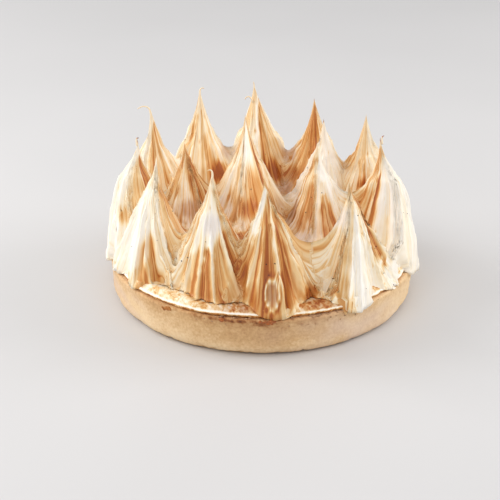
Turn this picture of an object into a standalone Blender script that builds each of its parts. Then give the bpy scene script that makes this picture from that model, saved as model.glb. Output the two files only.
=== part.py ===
"""Lemon meringue pie: a low pastry case, a thin spread layer of meringue on it, and a crown of meringue
peaks, each pulled up to a point and joined to its neighbours by hanging crests.

Sizes are in millimetres here and become metres when a mesh is made. The origin is the middle of the base,
+Z is up, and the pie's front is towards -Y."""

from collections import namedtuple
from math import atan2, ceil, cos, hypot, radians, sin

import bmesh
import bpy
import numpy as np

MM = 0.001
GAP = 0.3  # between pieces that rest on each other
FULL_TURN = 2 * np.pi

# Pastry case
CASE_RADIUS = 115.0
CASE_FOOT_RADIUS = 104.0
CASE_CORNER = 9.0
CASE_LEAN = 1.6  # how much wider the wall is at its top than above the corner
CASE_HEIGHT = 30.0
CASE_EDGE = 1.8  # rounding of the top edge
CASE_FLAT = 8.0  # how far in from the foot the flat base is one face
CASE_WAVER = ((0.5, 3, 1), (0.3, 7, 0))  # swells round the wall: size, how many, and phase
CASE_SEGMENTS = 80

# Spread layer
LAYER_RADIUS = 111.8
LAYER_WAVER = ((0.6, 5, 0), (0.36, 13, 2))
LAYER_FOOT = 1.2  # how far the layer's lower edge is tucked in
LAYER_TOP = 36.6
LAYER_SEGMENTS = 64

# Shape of every peak and crest: depth below it = STEEPNESS * distance ** SHARPNESS
STEEPNESS = 5.8
SHARPNESS = 0.77
BLEND = 0.14  # per mm: how sharply one surface takes over from the next
TIP_BLEND = 0.8
TIP_BLEND_HEIGHTS = (88.0, 112.0)
CREST_HANG = 2.6  # above 1, a crest drops steeply from the tip and is flat where it hangs lowest
CREST_SINK = 2.5  # keeps a crest just under the tip it leaves
HOLLOW_FLOOR = 55.0
HOLLOW_REACH = 72.0  # past this radius the floor falls away
HOLLOW_FALL = 3.0
LEAN_FROM = 78.0  # height above which a peak's axis leaves its root
LEAN_CURVE = 1.5

# Outer flank: past its start the tent goes on falling while its radius is drawn in to the feet
FLANK_START = 86.0
NET_RADIUS = 128.0
RIM_POINTS = 72
GAP_FOOT_RADIUS = 92.0
FOOT_SPREAD = radians(15)  # either side of a foot's middle
FOOT_DROOP_SPREAD = radians(7)  # where the foot hangs past the layer's edge
FOOT_DROOP_RAMP = radians(3)
BULGE_HEIGHTS = (116.0, 88.0)  # a flank's bulge grows between these
LIP = 0.8  # clear of the layer's edge, where a foot hangs past it
TUCKS = (1.0, 0.5, 5.0)  # the steps in from the foot to the flat underside

# Flat net of the meringue's skin
NET_STEP = 10.0
NET_RINGS = 8
NET_CROWDING = 1.5  # above 1, rings crowd towards the tip
FLUTES = 9
FLUTE_DEPTH = 0.06
FLUTE_PHASE = 2.4  # from one peak to the next

Peak = namedtuple("Peak", "root tip foot")  # foot: its direction in degrees, radius and bulge, or None
PEAKS = {
    "front": Peak((4, -88), (1, -88, 124), (-85, 115.5, 0)),
    "front_right": Peak((64, -66), (61, -64, 113), (-54, 118.5, 0)),
    "right": Peak((90, -8), (87, -6, 123), (-14, 118.5, 7)),
    "back_right": Peak((79, 32), (78, 31, 128), (21, 117, 4)),
    "back_far_right": Peak((42, 68), (40, 68, 129), (57, 117, 2)),
    "back": Peak((-4, 83), (-7, 81, 135), (92, 117.5, 2)),
    "back_left": Peak((-48, 66), (-49, 65, 135), (126, 117, 2)),
    "left_back": Peak((-82, 33), (-85, 33, 130), (157, 117.5, 4)),
    "left": Peak((-91, -3), (-93, 0, 119), (184, 118.5, 8)),
    "front_left": Peak((-78, -46), (-76, -38, 120), (218, 109, 0)),
    "front_mid_left": Peak((-35, -79), (-34, -77, 125), (250, 103, 0)),
    "inner_left": Peak((-57, 4), (-58, 6, 114), None),
    "inner_back": Peak((-12, 18), (-13, 22, 130), None),
    "inner_right": Peak((41, -10), (40, -4, 119), None),
    "inner_back_right": Peak((48, 32), (46, 31, 124), None),
}
EXTRA_FEET = ((-34, 115.5, 3), (200, 116, 3))  # masses between two peaks that also reach the case
Crest = namedtuple("Crest", "start end sag")  # end: another peak, or a free point; sag: its lowest height
CRESTS = (
    Crest("front", "front_right", 75), Crest("front_right", "right", 65), Crest("right", "back_right", 80),
    Crest("back_right", "back_far_right", 86), Crest("back_far_right", "back", 86), Crest("back", "back_left", 85),
    Crest("back_left", "left_back", 86), Crest("left_back", "left", 86), Crest("left", "front_left", 72),
    Crest("front_left", "front_mid_left", 74), Crest("front_mid_left", "front", 64),
    Crest("inner_back", (17, -62), 83), Crest("inner_left", "inner_back", 80), Crest("inner_left", "left_back", 82),
    Crest("inner_right", "inner_back_right", 82), Crest("inner_right", "right", 84),
    Crest("inner_back_right", "back_right", 86), Crest("inner_back", "back", 86),
)
Hollow = namedtuple("Hollow", "x y depth breadth")  # pressed between the peaks
HOLLOWS = (
    Hollow(26, 54, 10, 15), Hollow(80, -30, 6, 13), Hollow(-32, 46, 6, 12), Hollow(-40, -22, 4, 14),
    Hollow(16, -8, 8, 13),
)


def turned_away(angle, other):
    """The smallest turn between two directions, in radians."""
    return (angle - other + np.pi) % FULL_TURN - np.pi


def ramp(value, start, end):
    """0 before start, 1 after end, and smooth between."""
    share = np.clip((value - start) / (end - start), 0, 1)
    return share * share * (3 - 2 * share)


def waver(angle, swells):
    return sum(size * np.sin(count * angle + phase) for size, count, phase in swells)


def fallen(distance):
    """How far the surface falls within this distance of a tip or a crest."""
    return STEEPNESS * distance**SHARPNESS


def peak_height(index, peak, x, y):
    """Height of one peak's own fluted surface over the points (x, y)."""
    away = np.hypot(x - peak.root[0], y - peak.root[1])
    direction = np.arctan2(y - peak.root[1], x - peak.root[0])
    return peak.tip[2] - fallen(away / (1 + FLUTE_DEPTH * np.cos(FLUTES * direction + FLUTE_PHASE * index)))


def hanging(drop, share):
    """Height of a hanging crest above its lowest point, this share of the way from the tip to that point."""
    return drop * (1 - np.minimum(share, 1)) ** CREST_HANG


def crest_height(crest, x, y):
    """Height of one crest's own surface over the points."""
    start = np.array([*PEAKS[crest.start].root, PEAKS[crest.start].tip[2]])
    joined = crest.end in PEAKS
    end = np.array([*PEAKS[crest.end].root, PEAKS[crest.end].tip[2]] if joined else [*crest.end, crest.sag])
    length = np.hypot(*(end - start)[:2])
    run = (end - start)[:2] / length
    along = (x - start[0]) * run[0] + (y - start[1]) * run[1]
    across = (y - start[1]) * run[0] - (x - start[0]) * run[1]
    inside = np.clip(along, 0, length)
    reach = length / 2 if joined else length
    height = crest.sag - CREST_SINK + hanging(start[2] - crest.sag, inside / reach)
    if joined:
        height = height + hanging(end[2] - crest.sag, (length - inside) / reach)
    return height - fallen(np.hypot(across, along - inside))


def tent(x, y):
    """Height of the joined peaks, crests and hollow floors, and each peak's share of it."""
    peaks = [peak_height(index, peak, x, y) for index, peak in enumerate(PEAKS.values())]
    crests = [crest_height(crest, x, y) for crest in CRESTS]
    floor = HOLLOW_FLOOR - HOLLOW_FALL * np.maximum(np.hypot(x, y) - HOLLOW_REACH, 0)
    heights = np.array(peaks + crests + [floor])
    top = heights.max(axis=0)
    blend = BLEND + (TIP_BLEND - BLEND) * ramp(top, *TIP_BLEND_HEIGHTS)
    weights = np.exp(blend * (heights - top))
    height = top + np.log(weights.sum(axis=0)) / blend
    for hollow in HOLLOWS:
        height = height - hollow.depth * np.exp(-((x - hollow.x) ** 2 + (y - hollow.y) ** 2) / hollow.breadth**2)
    return height, weights[: len(PEAKS)] / weights.sum(axis=0)


def foot_outline(angle):
    """In each direction: the radius and height of the meringue's lower edge, and how far its flank bulges."""
    radius, droop, bulge = GAP_FOOT_RADIUS + 0 * angle, 0 * angle, 0 * angle
    feet = [peak.foot for peak in PEAKS.values() if peak.foot]
    for direction, foot_radius, foot_bulge in [*feet, *EXTRA_FEET]:
        aside = abs(turned_away(angle, radians(direction)))
        lobe = np.exp(-((aside / FOOT_SPREAD) ** 4))
        radius = np.maximum(radius, GAP_FOOT_RADIUS + (foot_radius - GAP_FOOT_RADIUS) * lobe)
        if foot_radius > CASE_RADIUS:
            droop = np.maximum(droop, np.clip((FOOT_DROOP_SPREAD - aside) / FOOT_DROOP_RAMP, 0, 1))
        bulge = np.maximum(bulge, foot_bulge * lobe)
    on_layer, on_case = LAYER_TOP + GAP, CASE_HEIGHT + 2 * GAP
    return radius, on_layer + (on_case - on_layer) * droop, bulge


def flank(distance, angle, height):
    """Draws the part of the tent outside its start in to the feet: its new radius and height."""
    part = np.clip((distance - FLANK_START) / (NET_RADIUS - FLANK_START), 0, 1)
    foot_radius, foot_height, bulge = foot_outline(angle)
    breadth = foot_radius - FLANK_START
    radius = FLANK_START + breadth * (1 - (1 - part) ** np.sqrt((NET_RADIUS - FLANK_START) / breadth))
    radius = radius + bulge * np.sin(np.pi * part) * ramp(height, *BULGE_HEIGHTS)
    rim_height = tent(NET_RADIUS * np.cos(angle), NET_RADIUS * np.sin(angle))[0]
    return radius, height + (foot_height - rim_height) * part**2


def skin(flat):
    """Places the points of the flat net on the meringue's surface."""
    x, y = flat[:, 0], flat[:, 1]
    distance, angle = np.hypot(x, y), np.arctan2(y, x)
    height, shares = tent(x, y)
    radius, flank_height = flank(distance, angle, height)
    outside = distance > FLANK_START
    radius = np.where(outside, radius, distance)
    height = np.where(outside, flank_height, height)
    x, y = radius * np.cos(angle), radius * np.sin(angle)
    for share, peak in zip(shares, PEAKS.values()):
        lean = share * np.clip((height - LEAN_FROM) / (peak.tip[2] - LEAN_FROM), 0, 1) ** LEAN_CURVE
        x = x + lean * (peak.tip[0] - peak.root[0])
        y = y + lean * (peak.tip[1] - peak.root[1])
    return np.column_stack([x, y, height])


def cut_polygon(corners, point, normal):
    """The part of a convex polygon that lies behind the line through point."""
    kept = []
    for here, after in zip(corners, np.roll(corners, -1, axis=0)):
        here_side, after_side = np.dot(here - point, normal), np.dot(after - point, normal)
        if here_side <= 0:
            kept.append(here)
        if here_side * after_side < 0:
            kept.append(here + (after - here) * here_side / (here_side - after_side))
    return np.array(kept)


def cell(root, others, rim):
    """The part of the flat disc that lies nearer to this root than to any other."""
    corners = rim
    for other in others:
        corners = cut_polygon(corners, (root + other) / 2, other - root)
    edge = []
    for here, after in zip(corners, np.roll(corners, -1, axis=0)):
        pieces = ceil(hypot(*(after - here)) / NET_STEP - 0.01)
        edge += [here + (after - here) * i / pieces for i in range(pieces)]
    return np.array(edge)


def add_cell(mesh, root, edge):
    """Rings of faces from the cell's edge in to the root."""
    loops = []
    for ring in range(NET_RINGS, 0, -1):
        share = (ring / NET_RINGS) ** NET_CROWDING
        loops.append([mesh.verts.new((*(root + (point - root) * share), 0)) for point in edge])
    for outer, inner in zip(loops, loops[1:]):
        for i in range(len(edge)):
            j = (i + 1) % len(edge)
            mesh.faces.new((outer[i], outer[j], inner[j], inner[i]))
    middle = mesh.verts.new((*root, 0))
    for i in range(len(edge)):
        mesh.faces.new((loops[-1][i], loops[-1][(i + 1) % len(edge)], middle))


def extrude_rim(mesh, place):
    """Extrudes the open edge and moves it to place(radius, height, direction), all in millimetres."""
    rim = [edge for edge in mesh.edges if edge.is_boundary]
    made = bmesh.ops.extrude_edge_only(mesh, edges=rim)["geom"]
    for vert in [item for item in made if isinstance(item, bmesh.types.BMVert)]:
        x, y, z = vert.co / MM
        direction = atan2(y, x)
        radius, height = place(hypot(x, y), z, direction)
        vert.co = (radius * cos(direction) * MM, radius * sin(direction) * MM, height * MM)


def close_below(mesh):
    """The underside: in from the feet to the layer's edge, up it, and flat across its top."""
    on_layer = LAYER_TOP + GAP
    extrude_rim(mesh, lambda r, z, a: (min(r - TUCKS[0], layer_radius(a) + GAP + LIP), z))
    extrude_rim(mesh, lambda r, z, a: (r - TUCKS[1], on_layer))
    extrude_rim(mesh, lambda r, z, a: (GAP_FOOT_RADIUS - TUCKS[2], on_layer))
    bmesh.ops.holes_fill(mesh, edges=[edge for edge in mesh.edges if edge.is_boundary])


def as_object(name, mesh, material):
    bmesh.ops.recalc_face_normals(mesh, faces=mesh.faces)
    data = bpy.data.meshes.new(name)
    mesh.to_mesh(data)
    mesh.free()
    data.shade_smooth()
    data.materials.append(material)
    obj = bpy.data.objects.new(name, data)
    bpy.context.scene.collection.objects.link(obj)
    return obj


def finish(name, colour, roughness):
    material = bpy.data.materials.new(name)
    material.use_nodes = True
    shader = material.node_tree.nodes["Principled BSDF"]
    shader.inputs["Base Color"].default_value = (*colour, 1)
    shader.inputs["Roughness"].default_value = roughness
    return material


def turned(name, segments, profile, material):
    """A closed turned piece. profile(angle) gives the (radius, height) pairs from bottom to top."""
    mesh = bmesh.new()
    columns = []
    for i in range(segments):
        angle = FULL_TURN * i / segments
        columns.append([
            mesh.verts.new((r * np.cos(angle) * MM, r * np.sin(angle) * MM, z * MM)) for r, z in profile(angle)
        ])
    for i, column in enumerate(columns):
        after = columns[(i + 1) % segments]
        for j in range(len(column) - 1):
            mesh.faces.new((column[j], after[j], after[j + 1], column[j + 1]))
    mesh.faces.new([column[0] for column in reversed(columns)])
    mesh.faces.new([column[-1] for column in columns])
    return as_object(name, mesh, material)


def rounded(centre_radius, centre_height, size, start, end, steps):
    """Points along an arc of the profile, from one direction to another, in degrees."""
    angles = np.radians(np.linspace(start, end, steps))
    return [(centre_radius + size * np.cos(a), centre_height + size * np.sin(a)) for a in angles]


def case_profile(angle):
    foot = rounded(CASE_RADIUS - CASE_LEAN - CASE_CORNER, CASE_CORNER, CASE_CORNER, -90, 0, 6)
    edge = rounded(CASE_RADIUS - CASE_EDGE, CASE_HEIGHT - CASE_EDGE, CASE_EDGE, 0, 90, 4)
    swell = waver(angle, CASE_WAVER)
    return [(CASE_FOOT_RADIUS - CASE_FLAT, 0)] + [(r + swell, z) for r, z in foot + edge]


def layer_radius(angle):
    return LAYER_RADIUS + waver(angle, LAYER_WAVER)


def layer_profile(angle):
    low = CASE_HEIGHT + GAP
    radius = layer_radius(angle)
    half = (LAYER_TOP - low) / 2
    return [(radius - LAYER_FOOT, low)] + rounded(radius - half, low + half, half, -50, 90, 5)


def meringue_peaks(material):
    angles = FULL_TURN * np.arange(RIM_POINTS) / RIM_POINTS
    rim = NET_RADIUS * np.column_stack([np.cos(angles), np.sin(angles)])
    roots = np.array([peak.root for peak in PEAKS.values()], float)
    mesh = bmesh.new()
    for i, root in enumerate(roots):
        add_cell(mesh, root, cell(root, np.delete(roots, i, axis=0), rim))
    bmesh.ops.remove_doubles(mesh, verts=mesh.verts, dist=0.01)
    placed = skin(np.array([vert.co[:] for vert in mesh.verts]))
    for vert, place in zip(mesh.verts, placed):
        vert.co = place * MM
    close_below(mesh)
    return as_object("meringue_peaks", mesh, material)


def main():
    for old in list(bpy.data.objects):
        bpy.data.objects.remove(old)
    pastry = finish("pastry", (0.76, 0.53, 0.33), 0.75)
    meringue = finish("meringue", (0.93, 0.80, 0.62), 0.55)
    turned("crust", CASE_SEGMENTS, case_profile, pastry)
    turned("meringue_layer", LAYER_SEGMENTS, layer_profile, meringue)
    meringue_peaks(meringue)


main()
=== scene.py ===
"""Looks of a lemon meringue pie: torched meringue peaks on a thin spread layer, in a pale pastry case.

Shapes are worked out in millimetres, in the same frame as the solids, and become metres when a mesh is made.
The meringue's skin starts as a flat net with one cell for each peak. The net is lifted onto a tent of hanging
peaks, pulled in to the feet at the outside, and then fluted and dented. Each point also gets its toasting."""

from collections import namedtuple
from math import ceil, cos, hypot, pi, radians, sin

import bpy
import numpy as np
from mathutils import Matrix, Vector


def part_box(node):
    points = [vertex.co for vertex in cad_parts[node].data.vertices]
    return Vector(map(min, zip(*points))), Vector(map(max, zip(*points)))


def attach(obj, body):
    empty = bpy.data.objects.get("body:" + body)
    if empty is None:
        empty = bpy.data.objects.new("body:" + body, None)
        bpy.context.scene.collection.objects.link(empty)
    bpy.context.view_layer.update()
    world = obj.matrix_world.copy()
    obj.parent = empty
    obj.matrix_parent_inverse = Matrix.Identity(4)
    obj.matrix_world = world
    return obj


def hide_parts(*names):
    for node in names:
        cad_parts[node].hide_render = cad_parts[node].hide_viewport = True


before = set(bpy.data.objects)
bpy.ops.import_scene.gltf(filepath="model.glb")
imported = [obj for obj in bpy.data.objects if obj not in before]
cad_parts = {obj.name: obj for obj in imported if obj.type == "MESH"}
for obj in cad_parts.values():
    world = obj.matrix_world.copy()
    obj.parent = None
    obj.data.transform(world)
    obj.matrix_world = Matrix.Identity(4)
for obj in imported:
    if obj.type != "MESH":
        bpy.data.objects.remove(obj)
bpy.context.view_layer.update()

MM = 0.001
GAP = 0.3

# Pastry case, from the solid's own box
CASE_RADIUS = 115.0
CASE_FOOT_RADIUS = 104.0
CASE_CORNER = 9.0
CASE_LEAN = 1.6
CASE_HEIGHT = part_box("crust")[1].z / MM
CASE_EDGE = 1.8

# Spread layer
LAYER_RADIUS = 113.0
LAYER_WAVER = 0.6
LAYER_FALL = 0.42
LAYER_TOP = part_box("meringue_layer")[1].z / MM

# Every peak: depth below the tip = STEEPNESS * distance ** SHARPNESS
STEEPNESS = 5.8
SHARPNESS = 0.77
BLEND = 0.14
TIP_BLEND = 0.8
HOLLOW_FLOOR = 55.0
HOLLOW_REACH = 72.0
HOLLOW_FALL = 3.0
LEAN_FROM = 78.0

# Outer flank
FLANK_START = 86.0
NET_RADIUS = 128.0
GAP_FOOT_RADIUS = 92.0
FOOT_SPREAD = radians(12.5)
FOOT_DROOP_SPREAD = radians(12)
FOOT_DROOP_RAMP = radians(10)
TOE_DEPTH = 2.2
LIP = 0.8

# Flat net
NET_STEP = 1.13
NET_RINGS = 31
NET_CROWDING = 1.45
RIM_POINTS = 72

# Flutes
RIDGES = 22
FLUTE_DEPTH = 0.32
STRIAE = 47
STRIA_DEPTH = 0.06

Peak = namedtuple("Peak", "root tip foot")  # foot: its direction, radius, height and bulge, or None
ON_CASE = CASE_HEIGHT + 2 * GAP
ON_LAYER = LAYER_TOP + GAP
PEAKS = {
    "front": Peak((4, -88), (1, -88, 124), (-85, 115.5, ON_CASE, 0)),
    "front_right": Peak((64, -66), (61, -64, 113), (-54, 118.5, 27, 0)),
    "right": Peak((90, -8), (87, -6, 123), (-14, 118.5, 25, 7)),
    "back_right": Peak((79, 32), (78, 31, 128), (21, 117.0, ON_CASE, 4)),
    "back_far_right": Peak((42, 68), (40, 68, 129), (57, 117.0, ON_CASE, 2)),
    "back": Peak((-4, 83), (-7, 81, 135), (92, 117.5, ON_CASE, 2)),
    "back_left": Peak((-48, 66), (-49, 65, 135), (126, 117.0, ON_CASE, 2)),
    "left_back": Peak((-82, 33), (-85, 33, 130), (157, 117.5, ON_CASE, 4)),
    "left": Peak((-91, -3), (-93, 0, 119), (184, 118.5, 26, 8)),
    "front_left": Peak((-78, -46), (-76, -38, 120), (214, 114.5, ON_CASE, 0)),
    "front_mid_left": Peak((-35, -79), (-34, -77, 125), (250, 107, ON_LAYER, 0)),
    "inner_left": Peak((-57, 4), (-58, 6, 114), None),
    "inner_back": Peak((-12, 18), (-13, 22, 130), None),
    "inner_right": Peak((41, -10), (40, -4, 119), None),
    "inner_back_right": Peak((48, 32), (46, 31, 124), None),
}
Crest = namedtuple("Crest", "start end sag")  # end: another peak, or a free point; sag: its lowest height
CRESTS = (
    Crest("front", "front_right", 75), Crest("front_right", "right", 65), Crest("right", "back_right", 80),
    Crest("back_right", "back_far_right", 86), Crest("back_far_right", "back", 86), Crest("back", "back_left", 85),
    Crest("back_left", "left_back", 86), Crest("left_back", "left", 86), Crest("left", "front_left", 72),
    Crest("front_left", "front_mid_left", 74), Crest("front_mid_left", "front", 64),
    Crest("inner_back", (17, -62), 83), Crest("inner_left", "inner_back", 80), Crest("inner_left", "left_back", 82),
    Crest("inner_right", "inner_back_right", 82), Crest("inner_right", "right", 84),
    Crest("inner_back_right", "back_right", 86), Crest("inner_back", "back", 86),
)
EXTRA_FEET = ((-34, 115.5, ON_CASE, 3), (200, 116, ON_CASE, 3), (233, 101, ON_LAYER, 0))  # masses between two peaks that also reach out: the first two to the case, the last to the layer
HOLLOWS = ((26, 54, 10, 15), (80, -30, 6, 13), (-32, 46, 6, 12), (-40, -22, 4, 14), (16, -8, 8, 13))


NAMES = list(PEAKS)


def turned_away(angle, other):
    """The smallest turn between two directions, in radians."""
    return (angle - other + pi) % (2 * pi) - pi


def near_direction(angle, middle, spread):
    """1 in this direction, in degrees, and falling to nothing around it."""
    return np.exp(-((turned_away(angle, radians(middle)) / radians(spread)) ** 2))


def drift(points, size, seed, waves=10):
    """A smooth uneven field of about -1 to 1 over the points, with swells about this size across."""
    draw = np.random.default_rng(seed)
    directions = draw.normal(size=(waves, points.shape[1]))
    directions /= np.linalg.norm(directions, axis=1, keepdims=True)
    lengths = 2 * pi / size * draw.uniform(0.55, 1.6, (waves, 1))
    phases = draw.uniform(0, 2 * pi, waves)
    return np.sin(points @ (directions * lengths).T + phases).sum(axis=1) * (0.8 / np.sqrt(waves))


def ramp(value, start, end):
    """0 before start, 1 after end, and smooth between."""
    share = np.clip((value - start) / (end - start), 0, 1)
    return share * share * (3 - 2 * share)


# ---------------------------------------------------------------- the meringue's shape


def ridges(draw, direction, away, count, breadths, starts):
    """Uneven ridges that fan out from a peak's tip: 1 along a ridge and 0 in a trough."""
    field = 0 * away
    for number in range(count):
        middle = 2 * pi * (number + draw.uniform(-0.38, 0.38)) / count
        breadth = radians(draw.uniform(*breadths))
        strength = draw.uniform(0.45, 1)
        start = draw.uniform(*starts)
        sway = draw.uniform(-0.16, 0.16)
        turn = turned_away(direction + sway * away / 30, middle)
        field = np.maximum(field, strength * np.exp(-(abs(turn) / breadth) ** 1.2) * ramp(away, start, start + 7))
    return field


def strands(draw, aside, count, breadths):
    """Uneven ridges that run along a crest, over how far aside of it each point lies."""
    field = 0 * aside
    for number in range(count):
        middle = 4 * (number + draw.uniform(-0.35, 0.35)) / count - 2
        breadth = draw.uniform(*breadths)
        field = np.maximum(field, draw.uniform(0.45, 1) * np.exp(-(abs(aside - middle) / breadth) ** 1.2))
    return field


def fallen(distance, broad, fine):
    """How far the surface falls within this distance of a tip or a crest."""
    trough = 0.4 * ramp(distance, 0, 14)
    return STEEPNESS * (distance / (1 + FLUTE_DEPTH * (broad - trough) + STRIA_DEPTH * fine)) ** SHARPNESS


def flow_of(index, direction, away):
    """A field that runs evenly along a peak's strands and changes quickly across them."""
    return np.column_stack([np.cos(direction) * 20, np.sin(direction) * 20, away / 30 + 3 * index])


def peak_form(index, peak, x, y):
    """Height of one peak's own surface over the points, its ridges, and its flow: the way its strands run."""
    away = np.hypot(x - peak.root[0], y - peak.root[1])
    direction = np.arctan2(y - peak.root[1], x - peak.root[0])
    near = away < 75
    broad, fine = 0 * away, 0 * away
    draw = np.random.default_rng(1900 + index)
    broad[near] = ridges(draw, direction[near], away[near], RIDGES, (4.5, 10), (0, 12))
    fine[near] = ridges(draw, direction[near], away[near], STRIAE, (1.6, 4), (2, 20))
    return peak.tip[2] - fallen(away, broad, fine), broad, fine, flow_of(index, direction, away)


def crest_form(index, crest, x, y):
    """The same for a crest, with how far along it each point lies, from 0 to 1."""
    start = np.array([*PEAKS[crest.start].root, PEAKS[crest.start].tip[2]])
    joined = crest.end in PEAKS
    end = np.array([*PEAKS[crest.end].root, PEAKS[crest.end].tip[2]] if joined else [*crest.end, crest.sag])
    length = np.hypot(*(end - start)[:2])
    run = (end - start)[:2] / length
    along = (x - start[0]) * run[0] + (y - start[1]) * run[1]
    across = (y - start[1]) * run[0] - (x - start[0]) * run[1]
    inside = np.clip(along, 0, length)
    half = length / 2 if joined else length
    height = crest.sag + hanging(start[2] - crest.sag, inside / half)
    if joined:
        height = height + hanging(end[2] - crest.sag, (length - inside) / half)
    aside = across / (1 + inside * (length - inside) / length)
    draw = np.random.default_rng(2900 + index)
    broad, fine = strands(draw, aside, 17, (0.07, 0.14)), strands(draw, aside, 40, (0.03, 0.06))
    heading = np.arctan2(run[1], run[0])
    flow = flow_of(NAMES.index(crest.start), heading + aside, inside)
    if joined:
        far = flow_of(NAMES.index(crest.end), heading + pi - aside, length - inside)
        flow = np.where((inside > length / 2)[:, None], far, flow)
    distance = np.hypot(across, along - inside)
    return height - 2.5 - fallen(distance, broad, fine), broad, fine, flow, inside / length, aside


def hanging(drop, share):
    """Height of a hanging crest above its lowest point, this share of the way from the tip to that point."""
    return drop * (1 - np.minimum(share, 1)) ** 2.6


def tent(x, y):
    """Height of the joined peaks, crests and hollow floors over the points, and a dictionary of fields:
    each peak's share of the surface, the ridges and the flow."""
    forms = [peak_form(index, peak, x, y) for index, peak in enumerate(PEAKS.values())]
    crests = [crest_form(index, crest, x, y) for index, crest in enumerate(CRESTS)]
    hollow_floor = HOLLOW_FLOOR - HOLLOW_FALL * np.maximum(np.hypot(x, y) - HOLLOW_REACH, 0)
    heights = np.array([form[0] for form in forms + crests] + [hollow_floor])
    top = heights.max(axis=0)
    blend = BLEND + (TIP_BLEND - BLEND) * ramp(top, 88, 112)
    weights = np.exp(blend * (heights - top))
    total = weights.sum(axis=0)
    height = top + np.log(total) / blend
    weights = weights / total
    for middle_x, middle_y, depth, breadth in HOLLOWS:
        height = height - depth * np.exp(-((x - middle_x) ** 2 + (y - middle_y) ** 2) / breadth**2)
    broad = sum(weight * form[1] for weight, form in zip(weights, forms + crests))
    fine = sum(weight * form[2] for weight, form in zip(weights, forms + crests))
    sharp = weights[:-1] ** 8
    sharp = sharp / np.maximum(sharp.sum(axis=0), 1e-12)
    flow = sum(weight[:, None] * form[3] for weight, form in zip(sharp, forms + crests))
    shares = dict(zip(PEAKS, weights))
    for weight, crest, form in zip(weights[len(PEAKS):], CRESTS, crests):
        along = form[4]
        shares[crest.start] = shares[crest.start] + weight * (1 - along)
        if crest.end in PEAKS:
            shares[crest.end] = shares[crest.end] + weight * along
    return height, {"shares": shares, "crests": weights[len(PEAKS):-1], "aside": [form[5] for form in crests],
                    "broad": broad, "fine": fine, "flow": flow}


def layer_radius(angle):
    return LAYER_RADIUS + LAYER_WAVER * (np.sin(5 * angle) + 0.6 * np.sin(13 * angle + 2))


def foot_outline(angle):
    """In each direction: the radius and height of the meringue's lower edge, how far a foot fills it, its bulge."""
    around = np.column_stack([np.cos(angle), np.sin(angle)]) * 100
    radius, height, lobe, bulge = GAP_FOOT_RADIUS + 0 * angle, LAYER_TOP + GAP + 0 * angle, 0 * angle, 0 * angle
    feet = [peak.foot for peak in PEAKS.values() if peak.foot]
    for direction, foot_radius, foot_height, foot_bulge in [*feet, *EXTRA_FEET]:
        aside = abs(turned_away(angle, radians(direction)))
        here = np.exp(-((aside / FOOT_SPREAD) ** 2.4))
        radius = np.maximum(radius, GAP_FOOT_RADIUS + (foot_radius - GAP_FOOT_RADIUS) * here)
        droop = ramp(FOOT_DROOP_SPREAD - aside, 0, FOOT_DROOP_RAMP)
        height = np.minimum(height, LAYER_TOP + GAP + (foot_height - LAYER_TOP - GAP) * droop)
        lobe = np.maximum(lobe, here)
        bulge = np.maximum(bulge, foot_bulge * here)
    radius = radius + 0.9 * drift(around, 16, 5) + 0.7 * drift(around, 5, 6)
    return radius, height, lobe, bulge


def flank(distance, angle, height, rim_height, broad):
    """Draws the part of the tent outside its start in to the feet: its new radius and height."""
    part = np.clip((distance - FLANK_START) / (NET_RADIUS - FLANK_START), 0, 1)
    foot_radius, foot_height, lobe, bulge = foot_outline(angle)
    toes = TOE_DEPTH * lobe * (broad - 0.4)
    hangs = foot_height < ON_CASE - 0.1
    foot_radius = np.where(hangs, np.maximum(foot_radius + toes, CASE_RADIUS + 2.4), foot_radius + toes)
    breadth = foot_radius - FLANK_START
    radius = FLANK_START + breadth * (1 - (1 - part) ** np.sqrt((NET_RADIUS - FLANK_START) / breadth))
    radius = radius + bulge * np.sin(pi * part**0.8) * ramp(height, 116, 88)
    return radius, height + (foot_height - rim_height) * part**2


def skin(flat):
    """Places the points of the flat net on the meringue's surface. Also gives the tent's fields."""
    x, y = flat[:, 0], flat[:, 1]
    distance, angle = np.hypot(x, y), np.arctan2(y, x)
    height, fields = tent(x, y)
    rim_height = tent(NET_RADIUS * np.cos(angle), NET_RADIUS * np.sin(angle))[0]
    radius, flank_height = flank(distance, angle, height, rim_height, fields["broad"])
    outside = distance > FLANK_START
    radius = np.where(outside, radius, distance)
    height = np.where(outside, flank_height, height)
    x, y = radius * np.cos(angle), radius * np.sin(angle)
    for name, peak in PEAKS.items():
        lean = fields["shares"][name] * np.clip((height - LEAN_FROM) / (peak.tip[2] - LEAN_FROM), 0, 1) ** 1.5
        x = x + lean * (peak.tip[0] - peak.root[0])
        y = y + lean * (peak.tip[1] - peak.root[1])
    return np.column_stack([x, y, height]), fields


# ---------------------------------------------------------------- the meringue's net


def cut_polygon(corners, point, normal):
    """The part of a convex polygon that lies behind the line through point."""
    kept = []
    for here, after in zip(corners, np.roll(corners, -1, axis=0)):
        here_side, after_side = np.dot(here - point, normal), np.dot(after - point, normal)
        if here_side <= 0:
            kept.append(here)
        if here_side * after_side < 0:
            kept.append(here + (after - here) * here_side / (here_side - after_side))
    return np.array(kept)


def cell(root, others, rim):
    """The part of the flat disc that lies nearer to this root than to any other."""
    corners = rim
    for other in others:
        corners = cut_polygon(corners, (root + other) / 2, other - root)
    edge = []
    for here, after in zip(corners, np.roll(corners, -1, axis=0)):
        pieces = ceil(hypot(*(after - here)) / NET_STEP - 0.01)
        edge += [here + (after - here) * i / pieces for i in range(pieces)]
    return np.array(edge)


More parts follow.
